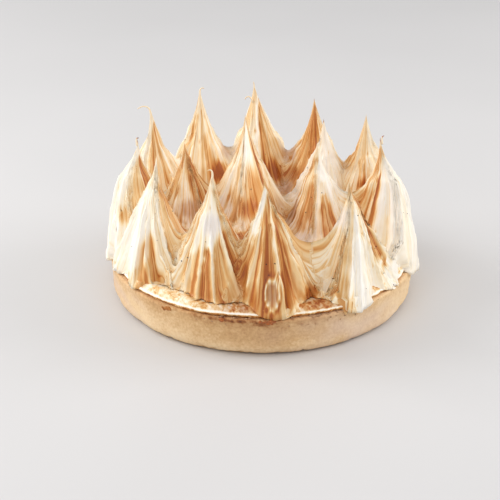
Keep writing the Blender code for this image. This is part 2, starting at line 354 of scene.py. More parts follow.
def cell_net(root, edge, first):
    """Points and faces of one cell: rings from its edge in to the root. first is its first point's number."""
    shares = (np.arange(NET_RINGS, 0, -1) / NET_RINGS) ** NET_CROWDING
    points = np.concatenate([root + (edge - root) * share for share in shares] + [[root]])
    count = len(edge)
    here = np.arange(count)
    after = (here + 1) % count
    faces = []
    for ring in range(NET_RINGS - 1):
        outer, inner = first + ring * count, first + (ring + 1) * count
        faces += np.column_stack([outer + here, outer + after, inner + after, inner + here]).tolist()
    last, middle = first + (NET_RINGS - 1) * count, first + NET_RINGS * count
    faces += [(last + i, last + j, middle) for i, j in zip(here.tolist(), after.tolist())]
    return points, faces


def flat_net():
    """A flat object in millimetres whose faces form one cell around each peak's root."""
    angles = 2 * pi * np.arange(RIM_POINTS) / RIM_POINTS
    rim = NET_RADIUS * np.column_stack([np.cos(angles), np.sin(angles)])
    roots = np.array([peak.root for peak in PEAKS.values()], float)
    points, faces = [], []
    for number, root in enumerate(roots):
        first = sum(len(made) for made in points)
        made, made_faces = cell_net(root, cell(root, np.delete(roots, number, axis=0), rim), first)
        points.append(made)
        faces += made_faces
    points = np.concatenate(points)
    data = bpy.data.meshes.new("meringue")
    data.from_pydata(np.column_stack([points, 0 * points[:, 0]]).tolist(), [], faces)
    obj = bpy.data.objects.new("meringue", data)
    bpy.context.scene.collection.objects.link(obj)
    edit(obj)
    bpy.ops.mesh.select_all(action="SELECT")
    bpy.ops.mesh.remove_doubles(threshold=0.02)
    bpy.ops.object.mode_set(mode="OBJECT")
    return obj


def edit(obj):
    """Goes into edit mode on this object alone."""
    bpy.ops.object.select_all(action="DESELECT")
    obj.select_set(True)
    bpy.context.view_layer.objects.active = obj
    bpy.ops.object.mode_set(mode="EDIT")


def coordinates(obj):
    found = np.empty(len(obj.data.vertices) * 3)
    obj.data.vertices.foreach_get("co", found)
    return found.reshape(-1, 3)


def place(obj, points):
    obj.data.vertices.foreach_set("co", np.asarray(points, float).ravel())
    obj.data.update()


def normals(obj):
    found = np.empty(len(obj.data.vertices) * 3)
    obj.data.vertex_normals.foreach_get("vector", found)
    return found.reshape(-1, 3)


def paint(obj, name, values):
    """Stores one number or one vector for each point of the mesh."""
    values = np.asarray(values, np.float32)
    kind = "FLOAT" if values.ndim == 1 else "FLOAT_VECTOR"
    layer = obj.data.attributes.new(name, kind, "POINT")
    layer.data.foreach_set("value" if values.ndim == 1 else "vector", values.ravel())


def extrude_rim(obj, placed):
    """Extrudes the open edge and moves it to placed(radius, height, direction)."""
    edit(obj)
    bpy.ops.mesh.select_all(action="DESELECT")
    bpy.ops.mesh.select_mode(type="EDGE")
    bpy.ops.mesh.select_non_manifold(extend=False, use_wire=False, use_multi_face=False,
                                     use_non_contiguous=False, use_verts=False)
    before = len(obj.data.vertices)
    bpy.ops.mesh.extrude_edges_move()
    bpy.ops.object.mode_set(mode="OBJECT")
    points = coordinates(obj)
    rim = np.zeros(len(points), bool)
    rim[before:] = True
    x, y, z = points[rim].T
    direction = np.arctan2(y, x)
    radius, height = placed(np.hypot(x, y), z, direction)
    points[rim] = np.column_stack([radius * np.cos(direction), radius * np.sin(direction), height + 0 * x])
    place(obj, points)


def close_below(obj):
    """The underside: in from the feet, up the case where one hangs over it, in to the layer and across its top."""
    on_layer = LAYER_TOP + GAP
    outside_case = CASE_RADIUS + 1.4

    def beside_layer(radius, angle):
        return np.minimum(radius, layer_radius(angle) + GAP + LIP)

    def tucked(radius, height, angle):
        return np.where(height < ON_CASE, outside_case, beside_layer(radius - 1, angle)), height - 0.3 * (height < ON_CASE)

    def smeared(radius, height, angle):
        around = np.column_stack([np.cos(angle), np.sin(angle)]) * 100
        breadth = np.where(height > ON_LAYER - 0.1, 1.7 + 1.2 * drift(around, 5, 21), 0.02)
        return beside_layer(radius + np.maximum(breadth, 0.3), angle), height

    extrude_rim(obj, smeared)
    extrude_rim(obj, tucked)
    extrude_rim(obj, lambda r, z, a: (r - 0.01, np.maximum(z, ON_CASE)))
    extrude_rim(obj, lambda r, z, a: (beside_layer(r - 0.05, a), z))
    extrude_rim(obj, lambda r, z, a: (r - 0.5, on_layer + 0 * z))
    extrude_rim(obj, lambda r, z, a: (GAP_FOOT_RADIUS - 5 + 0 * r, on_layer + 0 * z))
    edit(obj)
    bpy.ops.mesh.select_all(action="DESELECT")
    bpy.ops.mesh.select_non_manifold(extend=False, use_wire=False, use_multi_face=False,
                                     use_non_contiguous=False, use_verts=False)
    bpy.ops.mesh.edge_face_add()
    bpy.ops.mesh.select_all(action="SELECT")
    bpy.ops.mesh.normals_make_consistent(inside=False)
    bpy.ops.object.mode_set(mode="OBJECT")


def blister_ring(points):
    """How far each point lies from the middle of the oval blister, where its lip is at 1."""
    x, y, z = points.T
    ring = np.hypot((x - BLISTER.x) / BLISTER.half_width, (z - BLISTER.z) / BLISTER.half_height)
    return np.where(y < -100, ring, 9)


def dents(points):
    """How far the soft surface stands out or lies in, along its normal."""
    x, y, z = points.T
    lumps = 0.55 * drift(points, 17, 11) + 0.3 * drift(points, 8, 12)
    wrinkles = 0.16 * drift(points, 3.6, 13)
    knobbly = near_direction(np.arctan2(y, x), -33, 14) * ramp(np.hypot(x, y), 92, 100)
    knobbly = np.maximum(knobbly, 0.8 * ramp(z, 70, 58) * ramp(np.hypot(x, y), 84, 76))
    return lumps + wrinkles + knobbly * (0.8 * drift(points, 6.5, 14) + 0.22 * drift(points, 3.4, 15))


def meringue_peaks():
    obj = flat_net()
    points, fields = skin(coordinates(obj))
    place(obj, points)
    outward = normals(obj)
    outward *= np.sign(outward[:, 2].sum())
    below_tips = ramp(points[:, 2], 116, 100)
    points = points + outward * (dents(points) * (0.25 + 0.75 * below_tips))[:, None]
    ring = blister_ring(points)
    points = points + outward * (BLISTER_LIP * np.exp(-(((ring - 1) / 0.22) ** 2)) - BLISTER_DEPTH * ramp(ring, 0.9, 0.6))[:, None]
    place(obj, points)
    toast, mauve = toasting(points, fields)
    paint(obj, "toast", toast)
    paint(obj, "mauve", mauve)
    paint(obj, "ridge", fields["broad"])
    paint(obj, "flow", fields["flow"])
    close_below(obj)
    place(obj, coordinates(obj) * MM)
    obj.data.shade_smooth()
    obj.data.materials.append(meringue_finish())
    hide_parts("meringue_peaks")
    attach(obj, "root")
    return obj


Blister = namedtuple("Blister", "x z half_width half_height")
BLISTER = Blister(7, 48, 4.9, 10)
BLISTER_LIP = 1.1
BLISTER_DEPTH = 1.0
BURNT_TIPS = ("left", "back_far_right", "inner_back_right", "right")
Facet = namedtuple("Facet", "direction spread low high toast")  # degrees, degrees, and a range of heights
PAINTED = {  # each peak's own toasting, and the facets that differ from it
    "left": (0.12, Facet(-100, 24, 66, 116, 0.42), Facet(-55, 26, 60, 116, 0.6), Facet(180, 50, 30, 120, 0.1)),
    "front_left": (0.16, Facet(-113, 9, 40, 62, 0.6), Facet(-93, 8, 40, 64, 0.62), Facet(-103, 5, 40, 62, 0.15),
                   Facet(-50, 16, 50, 92, 0.3), Facet(-92, 40, 30, 44, 0.46), Facet(-140, 25, 45, 115, 0.06),
                   Facet(30, 50, 60, 94, 0.5), Facet(-72, 14, 38, 72, 0.3)),
    "front_mid_left": (0.2, Facet(-128, 14, 66, 120, 0.2), Facet(-146, 22, 26, 66, 0.5), Facet(-94, 17, 72, 118, 0.07), Facet(-100, 12, 24, 68, 0.8),
                       Facet(-118, 7, 35, 60, 0.4), Facet(-78, 9, 40, 70, 0.42), Facet(-60, 14, 36, 84, 0.62),
                       Facet(-48, 9, 35, 76, 0.8), Facet(-25, 14, 66, 105, 0.4), Facet(-36, 12, 40, 78, 0.62), Facet(0, 20, 60, 100, 0.42),
                       Facet(90, 60, 60, 96, 0.5)),
    "front": (0.36, Facet(-148, 14, 85, 122, 0.02), Facet(-130, 16, 34, 92, 0.44), Facet(-170, 14, 50, 80, 0.54), Facet(-96, 9, 42, 92, 0.7),
              Facet(-107, 14, 36, 55, 0.6), Facet(-80, 6, 40, 110, 0.5), Facet(-66, 7, 60, 115, 0.12),
              Facet(-47, 10, 42, 86, 0.76), Facet(-28, 9, 36, 80, 0.44), Facet(-5, 18, 40, 110, 0.46),
              Facet(110, 50, 60, 112, 0.5)),
    "front_right": (0.12, Facet(-142, 20, 46, 112, 0.3), Facet(-141, 14, 24, 44, 0.04), Facet(-117, 13, 24, 74, 0.54), Facet(-103, 8, 50, 112, 0.3),
                    Facet(-76, 18, 30, 105, 0.05), Facet(-40, 20, 35, 100, 0.2), Facet(20, 26, 55, 105, 0.6), Facet(-94, 9, 18, 40, 0.5),
                    Facet(120, 40, 60, 110, 0.45)),
    "right": (0.14, Facet(-165, 16, 60, 120, 0.4), Facet(-124, 8, 50, 92, 0.62), Facet(-150, 12, 55, 80, 0.52), Facet(-98, 8, 76, 112, 0.08),
              Facet(-80, 16, 30, 122, 0.06), Facet(-91, 7, 50, 70, 0.3), Facet(-170, 16, 50, 84, 0.6), Facet(-45, 25, 30, 122, 0.08), Facet(130, 40, 60, 110, 0.5)),
    "back_right": (0.24, Facet(-130, 26, 80, 125, 0.28), Facet(-74, 20, 80, 125, 0.16), Facet(-165, 22, 60, 98, 0.46),
                   Facet(-100, 18, 60, 84, 0.42)),
    "back_far_right": (0.3, Facet(-110, 24, 100, 130, 0.62), Facet(-150, 28, 60, 110, 0.52), Facet(-100, 14, 70, 105, 0.6),
                       Facet(-60, 20, 80, 128, 0.3)),
    "back": (0.22, Facet(-120, 18, 92, 134, 0.26), Facet(-82, 6, 76, 112, 0.7), Facet(-60, 12, 76, 122, 0.5),
             Facet(-40, 10, 70, 110, 0.36), Facet(-150, 22, 70, 110, 0.26), Facet(-94, 10, 74, 125, 0.04)),
    "back_left": (0.18, Facet(-106, 14, 80, 134, 0.16), Facet(-165, 18, 70, 126, 0.3), Facet(-72, 14, 66, 92, 0.42),
                  Facet(-128, 12, 70, 110, 0.46), Facet(-88, 6, 76, 118, 0.34), Facet(-30, 18, 80, 120, 0.16)),
    "left_back": (0.22, Facet(-96, 14, 70, 128, 0.42), Facet(-58, 16, 66, 118, 0.3), Facet(-132, 16, 70, 128, 0.14),
                  Facet(-170, 20, 50, 120, 0.2)),
    "inner_left": (0.36, Facet(-160, 26, 62, 112, 0.46), Facet(-112, 9, 66, 112, 0.16), Facet(-20, 22, 66, 106, 0.62),
                   Facet(-90, 16, 60, 86, 0.14), Facet(-40, 12, 60, 84, 0.34), Facet(-60, 8, 76, 104, 0.5)),
    "inner_back": (0.26, Facet(-138, 14, 70, 125, 0.14), Facet(-74, 9, 98, 132, 0.03), Facet(-100, 9, 76, 122, 0.18), Facet(-118, 5, 70, 105, 0.5),
                   Facet(-80, 7, 78, 112, 0.5), Facet(-84, 30, 50, 80, 0.72), Facet(-160, 16, 60, 104, 0.36), Facet(-50, 16, 84, 118, 0.1)),
    "inner_right": (0.22, Facet(-48, 42, 80, 119, 0.01), Facet(20, 40, 70, 119, 0.05), Facet(-124, 22, 66, 94, 0.54), Facet(-90, 5, 60, 112, 0.1),
                    Facet(-66, 14, 60, 84, 0.56), Facet(-30, 14, 60, 84, 0.2), Facet(-150, 22, 66, 108, 0.2),
                    Facet(150, 40, 60, 108, 0.5)),
    "inner_back_right": (0.2, Facet(-90, 26, 80, 124, 0.05), Facet(-50, 20, 70, 118, 0.02), Facet(180, 50, 60, 118, 0.1)),
}
Side = namedtuple("Side", "left right below")  # toasting of a crest's faces, looking along it from its start
CREST_SIDES = {11: Side(0.7, 0.05, 0.4)}  # below: the right face's toasting lower down
SIDE_CHANGE = (88, 104)
# toast: the torch's browning; the last field: painted shade, a mauve grey for hollows, crest undersides and faces
# turned from the light
Spot = namedtuple("Spot", "middle size toast mauve")
SPOTS = (
    Spot((14, -18, 84), 9, 0.62, 0), Spot((22, -30, 76), 9, 0.5, 0), Spot((-14, -92, 60), 8, 0.68, 0),
    Spot((-10, -98, 44), 8, 0.5, 0), Spot((72, -16, 80), 9, 0.5, 0), Spot((78, 2, 84), 8, 0.46, 0.2),
    Spot((34, -92, 40), 7, 0.6, 0), Spot((-66, -76, 42), 8, 0.3, 0),
    Spot((11, 58, 70), 11, 0.86, 0), Spot((24, 60, 66), 9, 0.72, 0.5), Spot((22, 72, 80), 9, 0.25, 0.9),
    Spot((19, 56, 57), 9, 0.3, 1), Spot((22, -10, 68), 9, 0.35, 0.9), Spot((-33, 51, 72), 9, 0.84, 0),
    Spot((-28, 68, 85), 9, 0.2, 0.8), Spot((-52, -12, 68), 9, 0.3, 0.9), Spot((-10, -60, 68), 10, 0.25, 0.9),
    Spot((76, 14, 77), 5, 0.66, 0), Spot((68, -30, 78), 8, 0.3, 0.8), Spot((74, -34, 66), 9, 0.68, 0),
    Spot((-101, -18, 66), 7, 0.44, 0), Spot((-9, -12, 68), 8, 0.72, 0), Spot((64, 30, 84), 7, 0.3, 0.5),
    Spot((-37, -94, 42), 7, 0.68, 0), Spot((60, -98, 33), 6, 0.42, 0), Spot((31, -39, 55), 9, 0.16, 0.6), Spot((-28, -1, 64), 8, 0.24, 0.5), Spot((-16, -19, 58), 8, 0.26, 0.4),
    Spot((-35, -89, 90), 9, 0.05, 0.3), Spot((54, -70, 88), 9, 0.12, 0.3),
)


def painted(peak, facets, points):
    """The toasting that a peak's own facets give."""
    base, *facets = facets
    x, y = points[:, 0] - peak.root[0], points[:, 1] - peak.root[1]
    direction = np.arctan2(y, x) + radians(3) * drift(points, 20, 31)
    height = points[:, 2] + 6 * drift(points, 9, 32)
    total = 0.12 + 0 * height
    toast = base * total
    for facet in facets:
        turn = turned_away(direction, radians(facet.direction))
        weight = np.exp(-((turn / radians(facet.spread)) ** 2))
        weight = weight * ramp(height, facet.low - 9, facet.low + 9) * ramp(height, facet.high + 9, facet.high - 9)
        total += weight
        toast += weight * facet.toast
    return toast / total


def toasting(points, fields):
    """How far the torch has browned each point, 0 raw white to 1 burnt, and how much painted shade, a mauve grey, it
    gets in hollows, under crests and on faces turned from the light.
    """
    shares = np.array([fields["shares"][name] for name in PEAKS])
    toast = sum(share * painted(peak, PAINTED[name], points) for share, (name, peak) in zip(shares, PEAKS.items()))
    toast = toast / np.maximum(shares.sum(axis=0), 0.001)
    toast = 0.76 * toast * (0.45 + 1.05 * (1 - fields["broad"]) + 0.3 * (0.5 - fields["fine"]))
    toast = np.minimum(1.06 * toast, 0.56 + 0.5 * (toast - 0.56))
    # painted shade on the low hollow floors in the middle
    mauve = 0.35 * ramp(points[:, 2], 76, 60) * ramp(np.hypot(points[:, 0], points[:, 1]), 84, 70)
    for number, side in CREST_SIDES.items():
        share = ramp(fields["crests"][number], 0.2, 0.7)
        left = ramp(fields["aside"][number], -0.1, 0.1)
        right = side.below + (side.right - side.below) * ramp(points[:, 2], *SIDE_CHANGE)
        toast += share * (left * side.left + (1 - left) * right - toast)
    for name in BURNT_TIPS:
        burnt = ramp(points[:, 2], PEAKS[name].tip[2] - 3.5, PEAKS[name].tip[2] - 1) * fields["shares"][name]
        toast += burnt * (0.97 - toast)
    ring = blister_ring(points)
    inside = ramp(ring, 0.92, 0.7)
    toast += inside * (0.36 - toast) + 0.34 * np.exp(-(((ring - 1.28) / 0.13) ** 2))
    toast += (0.14 - toast) * np.exp(-(((ring - 1) / 0.15) ** 2))
    # painted shade fills the blister's sunken inside
    mauve += inside * (1 - mauve)
    for spot in SPOTS:
        share = np.exp(-(((points - spot.middle) / spot.size) ** 2).sum(axis=1))
        share = ramp(share + 0.12 * drift(points, 5, 41), 0.1, 0.8)
        toast += share * (spot.toast - toast)
        mauve += share * (spot.mauve - mauve)
    return np.clip(toast, 0, 1), np.clip(mauve, 0, 1)


# ---------------------------------------------------------------- materials


def srgb(red, green, blue):
    """A colour given as eight-bit display values, as the linear value a shader needs."""
    values = np.array([red, green, blue]) / 255
    linear = np.where(values > 0.04045, ((values + 0.055) / 1.055) ** 2.4, values / 12.92)
    return (*linear.tolist(), 1)


def material(name):
    made = bpy.data.materials.new(name)
    made.use_nodes = True
    nodes = made.node_tree.nodes
    return made, nodes, made.node_tree.links, nodes["Principled BSDF"]


def add(nodes, kind, **settings):
    node = nodes.new("ShaderNode" + kind)
    for key, value in settings.items():
        setattr(node, key, value)
    return node


TOAST_COLOURS = (
    (0.0, (253, 250, 245)), (0.12, (252, 244, 229)), (0.24, (248, 231, 199)), (0.37, (236, 201, 146)),
    (0.5, (218, 164, 98)), (0.64, (199, 128, 58)), (0.78, (176, 95, 32)), (0.9, (136, 64, 22)), (1.0, (62, 26, 14)),
)
DARKEST_STREAK = 0.82
# the mauve grey of the painted shade in hollows and on faces turned from the light
PAINTED_SHADE_COLOUR = (214, 194, 194)


PASTRY_COLOURS = (
    (0.0, (247, 226, 190)), (0.3, (237, 205, 160)), (0.5, (214, 174, 124)), (0.7, (186, 139, 90)),
    (0.85, (146, 88, 42)), (1.0, (92, 46, 20)),
)
BLUSH = (222, 198, 184)


def fill_ramp(node, stops):
    elements = node.color_ramp.elements
    while len(elements) > 1:
        elements.remove(elements[-1])
    elements[0].position, elements[0].color = stops[0][0], srgb(*stops[0][1])
    for position, colour in stops[1:]:
        elements.new(position).color = srgb(*colour)


def maths(nodes, links, operation, *values):
    """A Math node fed with sockets or plain numbers."""
    node = add(nodes, "Math", operation=operation)
    for socket, value in zip(node.inputs, values):
        if isinstance(value, (int, float)):
            socket.default_value = value
        else:
            links.new(value, socket)
    return node.outputs[0]


def noise(nodes, links, vector, scale, detail=2.0, roughness=0.5):
    node = add(nodes, "TexNoise")
    node.inputs["Scale"].default_value = scale
    node.inputs["Detail"].default_value = detail
    node.inputs["Roughness"].default_value = roughness
    links.new(vector, node.inputs["Vector"])
    return node.outputs["Fac"]


def banded(nodes, links, value, low, high):
    """The value spread out between two limits, with soft ends."""
    node = add(nodes, "MapRange", interpolation_type="SMOOTHSTEP")
    node.inputs["From Min"].default_value = low
    node.inputs["From Max"].default_value = high
    links.new(value, node.inputs["Value"])
    return node.outputs["Result"]


def meringue_finish():
    made, nodes, links, shader = material("torched_meringue")
    toast = add(nodes, "Attribute", attribute_name="toast").outputs["Fac"]
    mauve = add(nodes, "Attribute", attribute_name="mauve").outputs["Fac"]
    flow = add(nodes, "Attribute", attribute_name="flow").outputs["Vector"]
    bands = banded(nodes, links, noise(nodes, links, flow, 0.34, 1), 0.38, 0.62)
    streaks = noise(nodes, links, flow, 0.75, 3, 0.55)
    band_depth = maths(nodes, links, "MULTIPLY_ADD", toast, 0.36, 0.03)
    streak_depth = maths(nodes, links, "MULTIPLY_ADD", toast, 0.72, 0.12)
    shifted = maths(nodes, links, "MULTIPLY_ADD", maths(nodes, links, "SUBTRACT", bands, 0.5), band_depth, toast)
    shifted = maths(nodes, links, "MULTIPLY_ADD", maths(nodes, links, "SUBTRACT", streaks, 0.5), streak_depth, shifted)
    hairs = noise(nodes, links, flow, 0.3, 1)
    line = maths(nodes, links, "ABSOLUTE", maths(nodes, links, "SUBTRACT", hairs, 0.5))
    line = maths(nodes, links, "SUBTRACT", 1, maths(nodes, links, "MINIMUM", maths(nodes, links, "MULTIPLY", line, 22), 1))
    line = maths(nodes, links, "MULTIPLY", line, maths(nodes, links, "MULTIPLY_ADD", toast, 0.4, 0.06))
    colours = add(nodes, "ValToRGB")
    fill_ramp(colours, TOAST_COLOURS)
    most = maths(nodes, links, "MAXIMUM", toast, DARKEST_STREAK)
    links.new(maths(nodes, links, "MINIMUM", maths(nodes, links, "ADD", shifted, line), most), colours.inputs["Fac"])
    # painted shade: the colour is multiplied toward a mauve grey in hollows and on faces turned from the light
    mixed = add(nodes, "Mix", data_type="RGBA", blend_type="MULTIPLY")
    links.new(mauve, mixed.inputs["Factor"])
    links.new(colours.outputs["Color"], mixed.inputs["A"])
    mixed.inputs["B"].default_value = srgb(*PAINTED_SHADE_COLOUR)
    links.new(mixed.outputs["Result"], shader.inputs["Base Color"])
    shader.inputs["Roughness"].default_value = 0.5
    bump = add(nodes, "Bump")
    bump.inputs["Strength"].default_value = 0.4
    bump.inputs["Distance"].default_value = 0.001
    links.new(streaks, bump.inputs["Height"])
    links.new(bump.outputs["Normal"], shader.inputs["Normal"])
    return made


def pastry_finish():
    """Pale pastry: the bake attribute browns it, and the blush attribute turns it pink and pale."""
    made, nodes, links, shader = material("baked_pastry")
    where = add(nodes, "TexCoord").outputs["Object"]
    bake = add(nodes, "Attribute", attribute_name="bake").outputs["Fac"]
    blush = add(nodes, "Attribute", attribute_name="blush").outputs["Fac"]
    patches = noise(nodes, links, where, 40, 5, 0.6)
    specks = noise(nodes, links, where, 520, 2, 0.6)
    amount = maths(nodes, links, "MULTIPLY_ADD", maths(nodes, links, "SUBTRACT", patches, 0.5), 0.55, bake)
    amount = maths(nodes, links, "MULTIPLY_ADD", maths(nodes, links, "SUBTRACT", specks, 0.5), 0.4, amount)
    colours = add(nodes, "ValToRGB")
    fill_ramp(colours, PASTRY_COLOURS)
    links.new(amount, colours.inputs["Fac"])
    mixed = add(nodes, "Mix", data_type="RGBA")
    links.new(blush, mixed.inputs["Factor"])
    links.new(colours.outputs["Color"], mixed.inputs["A"])
    mixed.inputs["B"].default_value = srgb(*BLUSH)
    links.new(mixed.outputs["Result"], shader.inputs["Base Color"])
    shader.inputs["Roughness"].default_value = 0.8
    bump = add(nodes, "Bump")
    bump.inputs["Strength"].default_value = 0.5
    bump.inputs["Distance"].default_value = 0.0008
    links.new(specks, bump.inputs["Height"])
    links.new(bump.outputs["Normal"], shader.inputs["Normal"])
    return made


def plain(name, colour, roughness, scale=400, depth=0.12):
    """One colour, a little lighter and darker in patches."""
    made, nodes, links, shader = material(name)
    colours = add(nodes, "ValToRGB")
    fill_ramp(colours, [(0.3, [part * (1 - depth) for part in colour]), (0.7, [part * (1 + depth) for part in colour])])
    links.new(noise(nodes, links, add(nodes, "TexCoord").outputs["Object"], scale), colours.inputs["Fac"])
    links.new(colours.outputs["Color"], shader.inputs["Base Color"])
    shader.inputs["Roughness"].default_value = roughness
    return made


# ---------------------------------------------------------------- case and layer


def rounded(centre_radius, centre_height, size, start, end, steps):
    """Points along an arc of the profile, from one direction to another, in degrees."""
    angles = np.radians(np.linspace(start, end, steps))
    return [(centre_radius + size * np.cos(a), centre_height + size * np.sin(a)) for a in angles]


def turned(name, profile, segments):
    """A closed turned piece from (radius, height) pairs, bottom to top, spun round the middle."""
    data = bpy.data.meshes.new(name)
    count = len(profile)
    data.from_pydata([(r, 0, z) for r, z in profile], [(i, i + 1) for i in range(count - 1)], [])
    obj = bpy.data.objects.new(name, data)
    bpy.context.scene.collection.objects.link(obj)
    edit(obj)
    bpy.ops.mesh.select_all(action="SELECT")
    bpy.ops.mesh.spin(steps=segments, angle=2 * pi, center=(0, 0, 0), axis=(0, 0, 1))
    bpy.ops.mesh.select_all(action="SELECT")
    bpy.ops.mesh.remove_doubles(threshold=0.005)
    bpy.ops.mesh.select_all(action="SELECT")
    bpy.ops.mesh.normals_make_consistent(inside=False)
    bpy.ops.object.mode_set(mode="OBJECT")
    return obj


def finish_piece(obj, points, finish, node):
    place(obj, points * MM)
    obj.data.shade_smooth()
    obj.data.materials.append(finish)
    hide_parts(node)
    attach(obj, "root")


def crust():
    foot = rounded(CASE_RADIUS - CASE_LEAN - CASE_CORNER, CASE_CORNER, CASE_CORNER, -90, 0, 14)
    wall = [(CASE_RADIUS - CASE_LEAN * (1 - t), CASE_CORNER + t * (CASE_HEIGHT - CASE_EDGE - CASE_CORNER))
            for t in np.linspace(0, 1, 22)[1:-1]]
    edge = rounded(CASE_RADIUS - CASE_EDGE, CASE_HEIGHT - CASE_EDGE, CASE_EDGE, 0, 90, 7)
    top = [(CASE_RADIUS - CASE_EDGE - 3, CASE_HEIGHT), (0, CASE_HEIGHT)]
    obj = turned("pastry_case", [(0, 0)] + foot + wall + edge + top, 420)
    points = coordinates(obj)
    x, y, z = points.T
    radius, angle = np.hypot(x, y), np.arctan2(y, x)
    outside = ramp(radius, CASE_FOOT_RADIUS - 8, CASE_FOOT_RADIUS)
    out = outside * (0.45 * drift(points, 34, 71) + 0.16 * drift(points, 7, 72) + 0.07 * drift(points, 2.6, 73))
    notches = outside * ramp(z, 6, 1.5) * ramp(drift(points, 9, 74), 0.35, 0.9)
    around = np.column_stack([x, y]) / np.maximum(radius, 1)[:, None]
    points[:, :2] += around * (out - 1.6 * notches)[:, None]
    below_layer = ramp(z, CASE_HEIGHT - 10, CASE_HEIGHT - 1)
    bake = 0.36 + 0.2 * near_direction(angle, -90, 34) * ramp(z, 2, 16) + 0.1 * below_layer
    bake += below_layer * (0.16 * ramp(drift(points, 10, 75), 0.3, 0.9) * near_direction(angle, -92, 36))
    thin_line = ramp(z, CASE_HEIGHT - 3, CASE_HEIGHT - 0.8) * near_direction(angle, -104, 24)
    bake += thin_line * (0.14 + 0.14 * drift(points, 7, 78))
    bake += 0.22 * ramp(z, 4, 0) + 0.16 * ramp(angle, radians(20), radians(90)) * outside
    bake -= 0.12 * near_direction(angle, -128, 24) * ramp(z, 26, 8)
    bake -= 0.1 * near_direction(angle, -34, 22)
    blush = 0.6 * near_direction(angle, -56, 24) * (0.6 + 0.4 * drift(points, 24, 76))
    blush += 0.5 * near_direction(angle, -158, 18) * (0.6 + 0.4 * drift(points, 20, 77))
    paint(obj, "bake", np.clip(bake, 0, 1))
    paint(obj, "blush", np.clip(blush * (1 - below_layer * 0.7), 0, 0.8))
    finish_piece(obj, points, pastry_finish(), "crust")


def layer():
    """The thin layer: rough and toasted on top, with a smooth white edge over a thin browned line."""
    low = CASE_HEIGHT + GAP
    half = (LAYER_TOP - low) / 2
    profile = [(0, low), (LAYER_RADIUS - 1.2, low)] + rounded(LAYER_RADIUS - half, low + half, half, -50, 90, 9)
    profile += [(r, LAYER_TOP) for r in np.arange(LAYER_RADIUS - half - 1, LAYER_RADIUS - 26, -1)] + [(0, LAYER_TOP)]
    obj = turned("spread_layer", profile, 420)
    points = coordinates(obj)
    x, y, z = points.T
    radius, angle = np.hypot(x, y), np.arctan2(y, x)
    on_top = ramp(radius, LAYER_RADIUS - 0.4, LAYER_RADIUS - 2) * (z > low + half)
    below_edge = ramp(z, LAYER_TOP - 1.8, LAYER_TOP - 3.2)
    outer = ramp(radius, 60, LAYER_RADIUS - 3)
    wanted = layer_radius(angle) + 0.35 * drift(points, 6, 81)
    points[:, :2] *= (1 + outer * (wanted / LAYER_RADIUS - 1))[:, None]
    rough = np.maximum(near_direction(angle, -96, 13), near_direction(angle, -62, 16))
    lumps = drift(points, 3.2, 82) * (0.22 + 0.3 * rough) + 0.2 * drift(points, 8, 83)
    points[:, 2] += on_top * outer * (lumps - 0.45)
    points[:, 2] -= (points[:, 2] - low) * LAYER_FALL * ramp(radius, LAYER_RADIUS - 6, LAYER_RADIUS - 1)
    toast = on_top * (0.29 + 0.1 * drift(points, 12, 84) + rough * (0.1 + 0.14 * drift(points, 3.5, 85)))
    # At the front right, on top and down the side, the layer is browner: partly toasting, partly painted shadow under
    # the right front foot. A narrow strip on top at the front left is paler.
    toast += on_top * 0.1 * near_direction(angle, -62, 16) - on_top * 0.1 * near_direction(angle, -139, 7)
    toast += 0.5 * below_edge + 0.1 * near_direction(angle, -70, 14) * (1 - on_top)
    paint(obj, "toast", np.clip(toast, 0, 1))
    # painted shade, a mauve grey, on the rough patches on top at the front, between the feet
    paint(obj, "mauve", np.clip(on_top * rough * (0.8 + 0.3 * drift(points, 9, 86)), 0, 1))
    paint(obj, "flow", points * 0.7)
    finish_piece(obj, points, bpy.data.materials["torched_meringue"], "meringue_layer")


# ---------------------------------------------------------------- wisps, flecks, beads and crumbs


Wisp = namedtuple("Wisp", "peak offsets thickness toast")  # offsets: its path from the peak's tip
WISPS = (
    Wisp("left_back", ((0, 0, -7), (0, 0, -3), (-0.6, 0, 0.4), (-2.6, 0, 2.4), (-6, 0, 2.6), (-9.6, 0, 0.8)), 1, 0.16),
    Wisp("back", ((0, 0, -21), (-1.6, -2, -16), (-2.7, -3, -12), (-4.4, -3, -9.8), (-6.6, -3, -10.2), (-8, -3, -12)), 0.9, 0.18),
    Wisp("back_left", ((0, 0, -6), (0, 0, -2), (0.6, 0, 0.8), (2, 0, 1.8), (3.6, 0, 1.4)), 0.9, 0.16),
    Wisp("front_mid_left", ((0, 0, -5), (0, 0, -1.5), (-0.9, 0, 0.6), (-2.4, 0, 0.8), (-3.4, 0, 0)), 0.8, 0.2),
    Wisp("right", ((0, 0, -5), (0, 0, -1), (0.5, 0, 0.8), (1.5, 0, 1.6)), 0.75, 0.84),
    Wisp("left", ((0, 0, -5), (0, 0, -1), (0.7, 0, 0.7), (2, 0, 0.8)), 0.75, 0.95),
    Wisp("back", ((0, 0, -4), (0, 0, -0.5), (-0.3, 0, 1.6)), 0.7, 0.2),
)
WISP_TOAST = 0.12
WISP_SIDES = 8
WISP_STEPS = 5


def smooth_path(corners):
    """Points along a soft curve through the corners."""
    corners = np.asarray(corners, float)
    padded = np.concatenate([[2 * corners[0] - corners[1]], corners, [2 * corners[-1] - corners[-2]]])
    path = []
    for a, b, c, d in zip(padded, padded[1:], padded[2:], padded[3:]):
        for t in np.arange(WISP_STEPS) / WISP_STEPS:
            path.append(b + 0.5 * t * (c - a + t * (2 * a - 5 * b + 4 * c - d + t * (3 * b - 3 * c + d - a))))
    return np.array([*path, corners[-1]])


